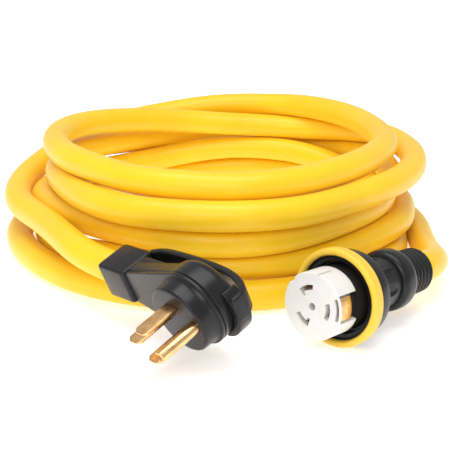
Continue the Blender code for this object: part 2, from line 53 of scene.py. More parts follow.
# The coil's centre from the frame's origin, the middles of the two ends' faces from the coil's centre, and how
# the ends lie. Each end has its own axes, with z along the way it plugs in and 0 at its face.
COIL_CENTRE = Vector((-36.195, 283.41, 0.0))
PLUG_AT = Vector((-33.5, -333.7, 39.3))
CONNECTOR_AT = Vector((64.1, -308.6, 40.40))
PRONG_DIRECTION = Vector((-0.68, -0.62, -0.39))
PLUG_LENGTHWISE = Vector((0.66, -0.75, 0.05))
CONNECTOR_YAW, CONNECTOR_TILT = radians(42.5), radians(2.9)
# Where the cable comes into the plug's block, and where it leaves the connector's strain relief.
BLOCK_END_X, CABLE_Z = -109.0, -27.0
RELIEF_REAR_Z = -141.0

# ---------------------------------------------------------------- camera

CAMERA_FROM_COIL = Vector((0.0, -0.998, 0.309))
# Degrees below level.
CAMERA_DOWN = 16.62

camera_data = bpy.data.cameras.new("camera")
camera_data.lens = 80.0
camera_data.sensor_width = 36.0
camera = bpy.data.objects.new("camera", camera_data)
bpy.context.scene.collection.objects.link(camera)
camera.location = COIL_CENTRE * MM + CAMERA_FROM_COIL
camera.rotation_euler = (radians(90.0 - CAMERA_DOWN), 0.0, 0.0)
bpy.context.scene.camera = camera

# ---------------------------------------------------------------- frames of the two ends


def plug_axes():
    """The plug's own axes: z the way its prongs point, x from its block to its face."""
    z = PRONG_DIRECTION.normalized()
    x = (PLUG_LENGTHWISE - PLUG_LENGTHWISE.dot(z) * z).normalized()
    y = z.cross(x)
    return Matrix((x, y, z)).transposed().to_4x4()


COIL = Matrix.Translation(COIL_CENTRE * MM)
PLUG = COIL @ Matrix.Translation(PLUG_AT * MM) @ plug_axes()
CONNECTOR = (
    COIL
    @ Matrix.Translation(CONNECTOR_AT * MM)
    @ Matrix.Rotation(-CONNECTOR_YAW, 4, "Z")
    @ Matrix.Rotation(radians(90) - CONNECTOR_TILT, 4, "X")
)


def on_coil(matrix, point):
    """A point of an end's own axes, in millimetres from the coil's centre."""
    return (COIL.inverted() @ matrix @ (Vector(point) * MM)) / MM


# ---------------------------------------------------------------- the cord

# The cord's centre line turn by turn: degrees round the coil, distance from its axis and height.
TURNS = (
    (0, 196, 13), (30, 200, 13), (60, 204, 13), (90, 206, 13), (120, 207, 13), (150, 208, 13),
    (180, 208, 13), (202, 208, 13), (228, 212, 13), (250, 214, 13), (270, 213, 13), (283, 211, 13),
    (300, 203, 13), (320, 190, 13), (340, 177, 13), (360, 171, 13), (375, 171, 14), (390, 172, 19),
    (405, 173, 27), (420, 175, 34), (435, 178, 36), (450, 181, 34), (480, 182, 25), (510, 184, 17),
    (540, 183, 15), (570, 184, 20), (585, 187, 27), (600, 190, 32), (615, 193, 33),
    (630, 194, 33), (645, 194, 33), (660, 190, 34), (690, 184, 36), (704, 181, 36), (720, 182, 37),
    (735, 182, 39), (750, 180, 46), (765, 174, 55), (780, 170, 62), (795, 168, 64), (810, 169, 62), (825, 172, 56),
    (840, 176, 49), (870, 183, 46), (900, 186, 50),
    (920, 183, 54), (945, 182, 56), (960, 188, 56), (975, 198, 56), (990, 204, 55), (1005, 200, 56),
    (1020, 188, 57), (1035, 180, 58), (1046, 174, 58), (1060, 166, 59), (1080, 168, 62),
    (1095, 175, 62), (1110, 184, 62), (1125, 192, 62), (1140, 197, 62), (1155, 198, 62), (1170, 196, 64),
    (1200, 190, 70), (1230, 180, 76), (1260, 168, 78), (1280, 170, 79), (1302, 182, 80), (1322, 204, 81),
    (1335, 211, 81),
    (1350, 215, 81), (1365, 210, 80), (1377, 198, 79), (1388, 190, 79), (1400, 187, 80),
    (1420, 187, 81), (1440, 190, 82), (1453, 194.5, 81), (1470, 196.5, 82), (1500, 178, 84),
    (1530, 161, 88), (1560, 162, 96), (1590, 168, 103), (1620, 170, 104), (1653, 173, 103),
    (1670, 178, 102), (1686, 189, 101.5), (1698, 194, 101.5), (1710, 197, 101.5), (1722, 194.5, 102.5),
    (1734, 185, 103), (1750, 173, 104), (1770, 163, 104), (1792, 159, 104), (1825, 160, 104),
    (1846, 170, 102), (1865, 180, 99), (1890, 187, 97), (1910, 191, 90), (1935, 199, 78),
    (1960, 203, 63), (1983, 206, 55), (2000, 205, 52), (2016, 204, 51.5),
)
# The stretch from the connector to the first turn: x, y and height from the coil's centre.
CONNECTOR_TAIL = (
    (174.2, -184.8, 30.7), (181.6, -167.5, 27.5), (186.6, -147, 23.2), (189.5, -112, 17.2), (193, -55, 13.2),
)
# The last stretch into the plug: distance behind the block and rise above the cable's entry.
PLUG_APPROACH = ((50, 6.5), (22, 1.2), (GAP, 0))
# The cord is followed in even steps of this length, with a ring of CORD_SIDES at each.
STEP = 10.0
CORD_SIDES = 32
SAMPLES_PER_POINT = 60
# Steps closer together along the cord than this are one strand, and don't push each other.
SAME_STRAND = 6 * CORD_R / STEP
# So many steps at either end aren't pushed, and from so many on they're free.
HELD_STEPS, FREE_STEPS = 4, 12
PUSH_SHARE = 0.35
CORD_CLEARANCE, FLOOR_CLEARANCE = 0.3, 0.05


def even(points, step):
    """Points a fixed distance apart on a smooth curve through the given ones."""
    points = np.array(points, float)
    # Spacing by the root of the distance keeps the curve from swinging out between uneven points.
    gaps = np.linalg.norm(np.diff(points, axis=0), axis=1) ** 0.5
    t = np.concatenate([[0], np.cumsum(gaps)])
    n = len(points)
    # A natural cubic spline through the points, one axis at a time.
    h = np.diff(t)
    a = np.eye(n)
    b = np.zeros((n, 3))
    for i in range(1, n - 1):
        a[i, i - 1 : i + 2] = h[i - 1], 2 * (h[i - 1] + h[i]), h[i]
        b[i] = 6 * ((points[i + 1] - points[i]) / h[i] - (points[i] - points[i - 1]) / h[i - 1])
    m = np.linalg.solve(a, b)
    fine = np.linspace(0, t[-1], SAMPLES_PER_POINT * n)
    k = np.clip(np.searchsorted(t, fine) - 1, 0, n - 2)
    u, v = (t[k + 1] - fine)[:, None], (fine - t[k])[:, None]
    w = h[k][:, None]
    curve = (m[k] * u**3 + m[k + 1] * v**3) / (6 * w)
    curve += (points[k] / w - m[k] * w / 6) * u + (points[k + 1] / w - m[k + 1] * w / 6) * v
    along = np.concatenate([[0], np.cumsum(np.linalg.norm(np.diff(curve, axis=0), axis=1))])
    count = round(along[-1] / step)
    stations = np.linspace(0, along[-1], count + 1)
    return np.stack([np.interp(stations, along, curve[:, axis]) for axis in range(3)], axis=1)


def push_apart(points, apart, rounds=120):
    """Moves strands that run into each other just clear, and off the floor, keeping each one smooth."""
    start = points.copy()
    n = len(points)
    index = np.arange(n)
    other_strand = np.abs(index[:, None] - index[None, :]) > SAME_STRAND
    from_end = np.minimum(index, n - 1 - index)
    hold = np.clip((from_end - HELD_STEPS) / (FREE_STEPS - HELD_STEPS), 0, 1)[:, None]
    for _ in range(rounds):
        gap = points[:, None, :] - points[None, :, :]
        distance = np.linalg.norm(gap, axis=2) + 1e-6
        close = other_strand & (distance < apart)
        push = np.where(close, (apart - distance) / distance * PUSH_SHARE, 0.0)
        points = points + (gap * push[:, :, None]).sum(axis=1)
        moved = (points - start) * hold
        for _ in range(3):
            padded = np.concatenate([moved[:1], moved, moved[-1:]])
            moved = 0.25 * padded[:-2] + 0.5 * moved + 0.25 * padded[2:]
        points = start + moved * hold
        points[:, 2] = np.maximum(points[:, 2], CORD_R + FLOOR_CLEARANCE)
    return points


def cord_route():
    """The cord's centre line from the connector to the plug, in even steps from the coil's centre."""
    connector_exit = on_coil(CONNECTOR, (0, 0, RELIEF_REAR_Z - GAP))
    straight = on_coil(CONNECTOR, (0, 0, RELIEF_REAR_Z - 10))
    route = [connector_exit, straight, *CONNECTOR_TAIL]
    for angle, radius, height in TURNS:
        route.append((radius * cos(radians(angle)), radius * sin(radians(angle)), height))
    route += [on_coil(PLUG, (BLOCK_END_X - back, rise, CABLE_Z)) for back, rise in PLUG_APPROACH]
    return push_apart(even(route, STEP), 2 * CORD_R + CORD_CLEARANCE)


def object_from(name, bm):
    """Makes an object of a bmesh, with its normals facing out, and puts it in the scene."""
    bmesh.ops.recalc_face_normals(bm, faces=bm.faces)
    mesh = bpy.data.meshes.new(name)
    bm.to_mesh(mesh)
    bm.free()
    obj = bpy.data.objects.new(name, mesh)
    bpy.context.scene.collection.objects.link(obj)
    return obj


def tube_mesh(name, points, radius, sides):
    """A tube round a path, with its own length and turn as UVs. It keeps a steady twist."""
    points = [Vector(p) for p in points]
    n = len(points)
    tangents = [(points[min(i + 1, n - 1)] - points[max(i - 1, 0)]).normalized() for i in range(n)]
    up = Vector((0, 0, 1))
    normal = (up - up.dot(tangents[0]) * tangents[0]).normalized()
    bm = bmesh.new()
    uv = bm.loops.layers.uv.new("UVMap")
    rings = []
    lengths = [0.0]
    for i, (point, tangent) in enumerate(zip(points, tangents)):
        normal = (normal - normal.dot(tangent) * tangent).normalized()
        side = tangent.cross(normal)
        ring = []
        for k in range(sides):
            angle = 2 * pi * k / sides
            ring.append(bm.verts.new(point + radius * (cos(angle) * normal + sin(angle) * side)))
        rings.append(ring)
        if i:
            lengths.append(lengths[-1] + (point - points[i - 1]).length)
    for i in range(n - 1):
        for k in range(sides):
            j = (k + 1) % sides
            face = bm.faces.new((rings[i][k], rings[i][j], rings[i + 1][j], rings[i + 1][k]))
            face.smooth = True
            for loop, (s, t) in zip(face.loops, ((i, k), (i, k + 1), (i + 1, k + 1), (i + 1, k))):
                loop[uv].uv = (lengths[s], t / sides)
    bm.faces.new(list(reversed(rings[0])))
    bm.faces.new(rings[-1])
    return object_from(name, bm)


route = [COIL @ (Vector(point) * MM) for point in cord_route()]
cord = tube_mesh("cord", route, CORD_R * MM, CORD_SIDES)
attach(cord, "cord_and_ends")
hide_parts("cord_coil", "cord_tail_plug", "cord_tail_connector")

# ---------------------------------------------------------------- materials


def material(name, colour, roughness, metallic=0.0, tone=0.08, tone_size=0.02, grain=0.0004, grain_size=0.001,
             rough_spread=0.06, sheen=0.0, subsurface=0.0, warm=None, specular=0.5):
    """A colour that drifts a little, towards warm if that's given, and a fine grain with roughness varying by it."""
    made = bpy.data.materials.new(name)
    made.use_nodes = True
    nodes, links = made.node_tree.nodes, made.node_tree.links
    shader = nodes["Principled BSDF"]
    shader.inputs["Metallic"].default_value = metallic
    shader.inputs["Sheen Weight"].default_value = sheen
    shader.inputs["Specular IOR Level"].default_value = specular
    if subsurface:
        shader.inputs["Subsurface Weight"].default_value = subsurface
        shader.inputs["Subsurface Scale"].default_value = 0.004
        shader.inputs["Subsurface Radius"].default_value = (1.0, 0.55, 0.15)
    place = nodes.new("ShaderNodeTexCoord")
    drift = nodes.new("ShaderNodeTexNoise")
    drift.inputs["Scale"].default_value = 1 / tone_size
    drift.inputs["Detail"].default_value = 4.0
    links.new(place.outputs["Object"], drift.inputs["Vector"])
    second = warm or colour
    ramp = nodes.new("ShaderNodeValToRGB")
    ramp.color_ramp.elements[0].position = 0.3
    ramp.color_ramp.elements[1].position = 0.7
    ramp.color_ramp.elements[0].color = (*(c * (1 - tone) for c in second), 1)
    ramp.color_ramp.elements[1].color = (*(min(1.0, c * (1 + tone)) for c in colour), 1)
    links.new(drift.outputs["Fac"], ramp.inputs["Fac"])
    links.new(ramp.outputs["Color"], shader.inputs["Base Color"])
    grain_noise = nodes.new("ShaderNodeTexNoise")
    grain_noise.inputs["Scale"].default_value = 1 / grain_size
    grain_noise.inputs["Detail"].default_value = 3.0
    links.new(place.outputs["Object"], grain_noise.inputs["Vector"])
    spread = nodes.new("ShaderNodeMapRange")
    spread.inputs["To Min"].default_value = roughness - rough_spread
    spread.inputs["To Max"].default_value = roughness + rough_spread
    links.new(grain_noise.outputs["Fac"], spread.inputs["Value"])
    links.new(spread.outputs["Result"], shader.inputs["Roughness"])
    bump = nodes.new("ShaderNodeBump")
    bump.inputs["Strength"].default_value = 0.35
    bump.inputs["Distance"].default_value = grain
    links.new(grain_noise.outputs["Fac"], bump.inputs["Height"])
    links.new(bump.outputs["Normal"], shader.inputs["Normal"])
    return made


MATS = {
    "cord_jacket": material("cord_jacket", (0.97, 0.625, 0.014), 0.36, tone=0.02, tone_size=0.05, grain=0.00012,
                            grain_size=0.0012, sheen=0.05, subsurface=0.03, warm=(0.95, 0.585, 0.010), specular=0.38),
    "yellow_ring": material("yellow_ring", (0.93, 0.59, 0.05), 0.42, tone=0.05, tone_size=0.004, grain=0.0002,
                            grain_size=0.0006, subsurface=0.05),
    "black_plastic": material("black_plastic", (0.011, 0.0105, 0.012), 0.27, tone=0.12, tone_size=0.01,
                              grain=0.0001, grain_size=0.0005, rough_spread=0.05, specular=0.32),
    "dark_insulator": material("dark_insulator", (0.02, 0.018, 0.017), 0.34, tone=0.1, grain=0.0001, specular=0.3),
    "white_nylon": material("white_nylon", (0.80, 0.775, 0.74), 0.38, tone=0.03, tone_size=0.008, grain=0.0001,
                            grain_size=0.0008, subsurface=0.15),
    "rubber": material("rubber", (0.010, 0.010, 0.011), 0.36, tone=0.15, tone_size=0.006, grain=0.0002,
                       grain_size=0.0005, specular=0.3),
    "brass": material("brass", (0.86, 0.60, 0.26), 0.24, metallic=1.0, tone=0.10, tone_size=0.006, grain=0.00005,
                      grain_size=0.0004, warm=(0.80, 0.45, 0.22)),
    "steel": material("steel", (0.60, 0.59, 0.57), 0.32, metallic=1.0, tone=0.08, tone_size=0.003, grain=0.00005),
    "wire_red": material("wire_red", (0.52, 0.025, 0.018), 0.42, grain=0.0001),
    "wire_black": material("wire_black", (0.016, 0.016, 0.017), 0.42, grain=0.0001),
    "wire_white": material("wire_white", (0.74, 0.73, 0.70), 0.42, grain=0.0001),
    "wire_green": material("wire_green", (0.02, 0.26, 0.06), 0.42, grain=0.0001),
}
COPPER = material("copper", (0.92, 0.60, 0.28), 0.25, metallic=1.0, tone=0.08, tone_size=0.006, grain=0.00005,
                  grain_size=0.0004, warm=(0.84, 0.46, 0.18))

for part in frame["record"]["subparts"]:
    node = frame["nodes"][part["node"]]
    node.data.materials.clear()
    node.data.materials.append(MATS[part["material_slot"]])

cord.data.materials.append(MATS["cord_jacket"])

# ---------------------------------------------------------------- making solids

TURNED_STEPS = 96
SAME_POINT = 1e-7


def made_object(name, bm):
    """Makes an object of a bmesh after merging points that coincide."""
    bmesh.ops.remove_doubles(bm, verts=bm.verts, dist=SAME_POINT)
    return object_from(name, bm)


def turned(name, profile, closed=True):
    """Spins (radius, z) points about the z axis. A closed profile makes a ring."""
    bm = bmesh.new()
    points = [bm.verts.new((r * MM, 0, z * MM)) for r, z in profile]
    pairs = list(zip(points, points[1:]))
    if closed:
        pairs.append((points[-1], points[0]))
    edges = [bm.edges.new(pair) for pair in pairs]
    bmesh.ops.spin(bm, geom=points + edges, axis=(0, 0, 1), cent=(0, 0, 0), steps=TURNED_STEPS, angle=2 * pi,
                   use_merge=True)
    return made_object(name, bm)


def extrude_outline(bm, outline, low, high, place=None):
    """Adds a prism from z = low to high to bm, moved by the matrix place."""
    corners = [bm.verts.new((x * MM, y * MM, low * MM)) for x, y in outline]
    face = bm.faces.new(corners)
    made = bmesh.ops.extrude_face_region(bm, geom=[face])["geom"]
    top = [part for part in made if isinstance(part, bmesh.types.BMVert)]
    bmesh.ops.translate(bm, verts=top, vec=(0, 0, (high - low) * MM))
    if place is not None:
        bmesh.ops.transform(bm, verts=corners + top, matrix=place)


def prism(name, outline, low, high, place=None):
    bm = bmesh.new()
    extrude_outline(bm, outline, low, high, place)
    return made_object(name, bm)


def rectangle(x_low, x_high, y_low, y_high):
    return [(x_low, y_low), (x_high, y_low), (x_high, y_high), (x_low, y_high)]


def circle(radius, count=24, x=0.0):
    return [(x + radius * cos(2 * pi * i / count), radius * sin(2 * pi * i / count)) for i in range(count)]


def arc_band(r_low, r_high, middle, half_arc, steps=14):
    """The outline of a part of a ring, as wide as half_arc to each side of the angle middle."""
    angles = [middle - half_arc + 2 * half_arc * i / steps for i in range(steps + 1)]
    outer = [(r_high * cos(a), r_high * sin(a)) for a in angles]
    inner = [(r_low * cos(a), r_low * sin(a)) for a in reversed(angles)]
    return outer + inner


def rounded(corners, radius, steps=6):
    """An outline with its corners rounded off."""
    outline = []
    count = len(corners)
    for i, corner in enumerate(corners):
        here = Vector(corner)
        before = Vector(corners[i - 1]) - here
        after = Vector(corners[(i + 1) % count]) - here
        reach = min(radius, 0.45 * before.length, 0.45 * after.length)
        a, b = here + before.normalized() * reach, here + after.normalized() * reach
        for k in range(steps + 1):
            t = k / steps
            outline.append(tuple((1 - t) ** 2 * a + 2 * t * (1 - t) * here + t * t * b))
    return outline


def applied(obj):
    """Replaces the object's mesh by what its modifiers make of it."""
    graph = bpy.context.evaluated_depsgraph_get()
    mesh = bpy.data.meshes.new_from_object(obj.evaluated_get(graph))
    obj.modifiers.clear()
    obj.data = mesh
    return obj


def bevelled(obj, width, segments=3, angle=35):
    """Rounds the edges that are sharper than angle."""
    modifier = obj.modifiers.new("edges", "BEVEL")
    modifier.width = width * MM
    modifier.segments = segments
    modifier.limit_method = "ANGLE"
    modifier.angle_limit = radians(angle)
    modifier.use_clamp_overlap = True
    return applied(obj)


def combine(obj, other, operation):
    """Joins other to obj or cuts it out of obj, and removes other."""
    modifier = obj.modifiers.new("boolean", "BOOLEAN")
    modifier.operation = operation
    modifier.object = other
    applied(obj)
    bpy.data.objects.remove(other, do_unlink=True)


def cut(obj, outlines, low, high, place=None):
    """Cuts prisms that don't touch each other out of obj."""
    bm = bmesh.new()
    for outline in outlines:
        extrude_outline(bm, outline, low, high, place)
    combine(obj, made_object("cutter", bm), "DIFFERENCE")


def finished(obj, matrix, slot, body, nodes, look=None, angle=32):
    """Puts a piece made in an end's own axes in its place, smooths it, sets it on its body and hides the CAD parts it
    stands for.
    """
    obj.data.transform(matrix)
    obj.data.materials.clear()
    obj.data.materials.append(look or MATS[slot])
    obj.data.shade_smooth()
    obj.data.set_sharp_from_angle(angle=radians(angle))
    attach(obj, body)
    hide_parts(*nodes)


def arc(centre_r, centre_z, radius, start, end, steps=6):
    """Points of a rounded edge in a turned profile, from one angle to another in degrees."""
    return [
        (centre_r + radius * cos(radians(start + (end - start) * i / steps)),
         centre_z + radius * sin(radians(start + (end - start) * i / steps)))
        for i in range(steps + 1)
    ]


# These stand an outline up: drawn in x and z and extruded along y, or drawn in y and z and extruded along x.
UPRIGHT = Matrix.Rotation(radians(90), 4, "X")
SIDEWAYS = Matrix(((0, 0, 1, 0), (1, 0, 0, 0), (0, 1, 0, 0), (0, 0, 0, 1)))

# ---------------------------------------------------------------- the plug

FACE_R, RIM_R, RIM_Z, PLUG_BACK_Z = 27.5, 31.0, -17.0, -38.0
BLOCK_X, BLOCK_Z, BLOCK_HALF_Y = (BLOCK_END_X, -74.0), (-43.0, -11.0), 15.0
NECK_HALF_Y, SHELL_TOP_Z = BLOCK_HALF_Y - 0.9, -13.5
BLADE_W, BLADE_T, BLADE_LENGTH, BLADE_TAIL, GROUND_LENGTH = 13.4, 2.4, 32.0, 20.0, 35.0
HOT_Y, NEUTRAL_X = 12.9, -15.5
GROUND_X, GROUND_R, GROUND_BACK, GROUND_WALL = 19.5, 4.3, 3.2, 1.7
HANDLE_HALF_Y, HANDLE_THICK = 10.0, 6.0
HANDLE_PATH = ((-84.0, -46.3), (-74.0, -51.5), (-60.0, -53.5), (-22.0, -53.5), (8.0, -50.5), (23.0, -45.5),
               (31.5, -39.5), (34.5, -33.0), (34.6, -25.1))
FOOT_SPREAD, FOOT_Z = (radians(-62), radians(26)), (-37.0, -24.5)


def ground_outline(clearance, steps=20):
    """The ground pin's outline, round on one side, grown by a clearance or shrunk by a negative one."""
    radius = GROUND_R + clearance
    angles = [-pi / 2 + pi * i / steps for i in range(steps + 1)]
    back = GROUND_X - GROUND_BACK - clearance
    return [(back, -radius), *((GROUND_X + radius * cos(a), radius * sin(a)) for a in angles), (back, radius)]


def blade_outlines(clearance):
    """The outlines of all four prongs, grown by a clearance."""
    half_w, half_t = BLADE_W / 2 + clearance, BLADE_T / 2 + clearance
    blades = [
        rectangle(x - half_w, x + half_w, y - half_t, y + half_t)
        for x, y in ((0, HOT_Y), (0, -HOT_Y), (NEUTRAL_X, 0))
    ]
    return [*blades, ground_outline(clearance)]


def teardrop(start, steps=80):
    """The outline of the neck and the drum together, from the block's end at x = start."""
    half = NECK_HALF_Y
    turn = pi / 2 + asin(RIM_R / hypot(start, half)) - atan2(half, -start)
    angles = [turn * (1 - 2 * i / steps) for i in range(steps + 1)]
    return [(start, -half), (start, half), *((RIM_R * cos(a), RIM_R * sin(a)) for a in angles)]


def front_body():
    """A round boss on a teardrop-shaped shell."""
    wall, edge, boss_back, prong_play = 3.2, 2.2, -15.0, 0.25
    profile = [(0, 0), (FACE_R - edge, 0), *arc(FACE_R - edge, -edge, edge, 90, 0)]
    profile += [(FACE_R + 0.25, -6.0), (FACE_R + 0.6, -10.0), (FACE_R + 1.1, -12.2), (FACE_R + 1.9, -13.3)]
    profile += [(FACE_R + 2.1, boss_back), (0, boss_back)]
    body = turned("plug_front", profile, closed=False)
    combine(body, bevelled(prism("shell", teardrop(BLOCK_X[1] + GAP), RIM_Z, SHELL_TOP_Z), 1.1, 4), "UNION")
    # Hollow behind its face, with the prongs' holes through the face.
    cut(body, [circle(FACE_R - wall, 64)], RIM_Z - 1, -6)
    cut(body, blade_outlines(prong_play), -8, 2)
    finished(body, PLUG, "black_plastic", "cord_and_ends", ["plug_front_body"])


def rear_housing():
    """The drum, the neck and the block that the cable comes into."""
    front = RIM_Z - GAP
    edge, wall, bottom, wire_way_r = 9, 5.5, 4, 7.2
    drum = [(0, front), (RIM_R - 0.5, front), (RIM_R, front - 0.5), (RIM_R, PLUG_BACK_Z + edge)]
    drum += [*arc(RIM_R - edge, PLUG_BACK_Z + edge, edge, 0, -90, 8), (0, PLUG_BACK_Z)]
    housing = turned("plug_rear", drum, closed=False)
    x_low, x_high = BLOCK_X
    z_low, z_high = BLOCK_Z
    half = BLOCK_HALF_Y
    neck_x = x_high - 6
    neck = prism("neck", rectangle(neck_x, -18, PLUG_BACK_Z + 0.7, front - 0.7), 0.6 - half, half - 0.6, UPRIGHT)
    combine(housing, bevelled(neck, 2.4, 4), "UNION")
    # Two cheeks spread from the block to the drum's sides.
    reach = hypot(x_high, half)
    slope = asin(RIM_R / reach) - atan2(half, -x_high)
    touch_x, touch_y = -RIM_R * sin(slope), RIM_R * cos(slope) - 0.3
    cheeks = [(neck_x, -NECK_HALF_Y), (neck_x, NECK_HALF_Y), (x_high, NECK_HALF_Y)]
    cheeks += [(touch_x, touch_y), (touch_x, -touch_y), (x_high, -NECK_HALF_Y)]
    combine(housing, bevelled(prism("cheeks", cheeks, PLUG_BACK_Z + 9.5, front - 0.3), 1.3, 4), "UNION")
    corners = rectangle(x_low, x_high, z_low, z_high)
    block = bevelled(prism("block", rounded(corners, 5.0), -half, half, UPRIGHT), 2.2, 4)
    combine(housing, block, "UNION")
    # Open from the front, with a way for the wires and the cable's own hole in the block.
    cut(housing, [circle(RIM_R - wall, 48)], PLUG_BACK_Z + bottom, front + 3)
    along = Matrix.Rotation(radians(90), 4, "Y")
    cut(housing, [circle(wire_way_r, 24, -CABLE_Z)], x_low + 15, -20, along)
    cut(housing, [circle(CORD_R + GAP, 48, -CABLE_Z)], x_low - 3, x_low + 22, along)
    finished(housing, PLUG, "black_plastic", "cord_and_ends", ["plug_rear_housing"])


def foot_outline(steps=48):
    """The handle's foot on the drum's side: thick in the middle and thin at both ends."""
    low, high = FOOT_SPREAD
    near, thin, swell = RIM_R + 0.35, 1.2, 5.6
    inner, outer = [], []
    for i in range(steps + 1):
        angle = low + (high - low) * i / steps
        far = near + thin + swell * sin(pi * i / steps)
        inner.append((near * cos(angle), near * sin(angle)))
        outer.append((far * cos(angle), far * sin(angle)))
    return inner + outer[::-1]


def handle():
    """The strap from the block to the drum, and its foot."""
    line = even([(x, z, 0.0) for x, z in HANDLE_PATH], 2.0)
    outer, inner = [], []
    for i, point in enumerate(line):
        along = Vector(line[min(i + 1, len(line) - 1)] - line[max(i - 1, 0)]).normalized()
        side = Vector((along.y, -along.x, 0)) * HANDLE_THICK / 2
        outer.append(tuple((Vector(point) + side).xy))
        inner.append(tuple((Vector(point) - side).xy))
    strap = prism("handle", outer + inner[::-1], -HANDLE_HALF_Y, HANDLE_HALF_Y, UPRIGHT)
    bevelled(strap, 1.9, 4, 50)
    combine(strap, bevelled(prism("foot", foot_outline(), *FOOT_Z), 1.0, 3, 50), "UNION")
    finished(strap, PLUG, "black_plastic", "cord_and_ends", ["plug_handle"])


def blade(name, node, x, y):
    """A blade: narrow behind its shoulders, wide in front of them, with its front corners cut off."""
    half, tail_half, shoulder, corner = BLADE_W / 2, 4, -12.5, 3
    tip = BLADE_LENGTH
    outline = [
        (x - tail_half, -BLADE_TAIL), (x + tail_half, -BLADE_TAIL), (x + tail_half, shoulder), (x + half, shoulder),
        (x + half, tip - corner), (x + half - corner, tip), (x - half + corner, tip), (x - half, tip - corner),
        (x - half, shoulder), (x - tail_half, shoulder),
    ]
    flat = prism(name, outline, -BLADE_T / 2, BLADE_T / 2, Matrix.Translation((0, y * MM, 0)) @ UPRIGHT)
    # The last few millimetres thin down on both faces, so that the blade finds its slot.
    for side in (-1, 1):
        wedge = [(side * (BLADE_T / 2 + 0.2), tip - 4.6), (side * (BLADE_T / 2 - 0.75), tip + 0.3),
                 (side * (BLADE_T / 2 + 2), tip + 0.3)]
        cut(flat, [wedge], -BLADE_W, BLADE_W, Matrix.Translation((x * MM, y * MM, 0)) @ SIDEWAYS)
    bevelled(flat, 0.25, 2, 25)
    finished(flat, PLUG, "brass", "cord_and_ends", [node], COPPER, 25)


def ground_pin():
    """The ground pin, a U in section: round on one side and open on the other."""
    inside = ground_outline(-GROUND_WALL)
    back = GROUND_X - GROUND_BACK
    outline = [*ground_outline(0), (back, inside[-1][1]), *inside[-2:0:-1], (back, inside[0][1])]
    pin = prism("ground_pin", outline, -BLADE_TAIL, GROUND_LENGTH)
    bevelled(pin, 0.4, 2, 40)
    finished(pin, PLUG, "brass", "cord_and_ends", ["plug_ground_pin"], angle=40)


front_body()
rear_housing()
handle()
blade("hot_x", "plug_hot_x_blade", 0, HOT_Y)
blade("hot_y", "plug_hot_y_blade", 0, -HOT_Y)
blade("neutral", "plug_neutral_blade", NEUTRAL_X, 0)
ground_pin()

# ---------------------------------------------------------------- the connector

NOSE_R, NOSE_LENGTH = 26.1, 22.0
SLOT_R, SLOT_WIDTH, SLOT_HALF_ARC = 14.5, 4.0, radians(25)
SLOT_ANGLES = (radians(116), radians(236), radians(356))
RING_R, RING_BORE_R, RING_Z = 38.6, 33.1, (-37.4, -27.0)
FLANGE_R, NECK_R, COLLAR_R = 34.4, 21.0, 25.4
RELIEF_R, RELIEF_Z = 19.6, (RELIEF_REAR_Z, -110.0)
NOTCH_ANGLE = radians(6)


def nose():
    """The nose: three curved slots, two of them hooked, a middle hole, the ground's side notch and two keyways."""
    profile = [(0, 0), (NOSE_R - 1.0, 0), *arc(NOSE_R - 1.0, -1.0, 1.0, 90, 0)]
    profile += [(NOSE_R, -NOSE_LENGTH), (0, -NOSE_LENGTH)]
    body = turned("nose", profile, closed=False)
    half = SLOT_WIDTH / 2
    cut(body, [arc_band(SLOT_R - half, SLOT_R + half, angle, SLOT_HALF_ARC) for angle in SLOT_ANGLES], -8, 2)
    pockets = [arc_band(10.6, 18.4, angle, SLOT_HALF_ARC + radians(4)) for angle in SLOT_ANGLES]
    cut(body, pockets, -NOSE_LENGTH - 2, -6)
    turn = SLOT_HALF_ARC - radians(5)
    hooks = [arc_band(SLOT_R - 4.6, SLOT_R - half + 0.4, angle + turn, radians(6), 4) for angle in SLOT_ANGLES[:2]]
    cut(body, hooks, -8, 2)
    cut(body, [circle(3.0)], -NOSE_LENGTH - 2, 2)
    cut(body, [arc_band(20.4, NOSE_R + 3, NOTCH_ANGLE, radians(24))], -NOSE_LENGTH - 2, -1.6)
    cut(body, [arc_band(21.8, 24.7, NOTCH_ANGLE, radians(21))], -4, 2)
    keys = [arc_band(NOSE_R - 1.6, NOSE_R + 3, radians(140), radians(7), 4),
            arc_band(NOSE_R - 1.4, NOSE_R + 3, radians(80), radians(3), 2)]
    cut(body, keys, -16, 2)
    finished(body, CONNECTOR, "white_nylon", "cord_and_ends", ["connector_nose"])


def ring():
    """The locking ring: a rounded lip, and a band of fine grip ribs round its outside."""
    low, high = RING_Z
    bm = bmesh.new()
    ribs, steps = 120, 4
    # Radius, z, and 1 where the outside is ribbed.
    profile = [(RING_R - 2.0, high, 0), (RING_R - 0.7, high - 0.7, 0), (RING_R - 0.1, high - 2.0, 0),
               (RING_R, high - 2.6, 1), (RING_R, low + 1.6, 1), (RING_R - 0.2, low + 0.9, 0), (RING_R - 1, low, 0),
               (RING_BORE_R, low, 0), (RING_BORE_R, high - 2.0, 0), (RING_BORE_R + 1.0, high - 0.4, 0),
               (RING_BORE_R + 1.9, high, 0)]
    rows = []
    for k in range(ribs * steps):
        angle = 2 * pi * k / (ribs * steps)
        dip = 0.16 * (k % steps == 0) + 0.05 * (k % steps in (1, 3))
        rows.append([
            bm.verts.new(((r - dip * ribbed) * MM * cos(angle), (r - dip * ribbed) * MM * sin(angle), z * MM))
            for r, z, ribbed in profile
        ])
    for a, b in zip(rows, rows[1:] + rows[:1]):
        for i in range(len(profile)):
            j = (i + 1) % len(profile)
            bm.faces.new((a[i], a[j], b[j], b[i]))
    body = made_object("lock_ring", bm)
    finished(body, CONNECTOR, "yellow_ring", "ring", ["locking_ring"], angle=50)


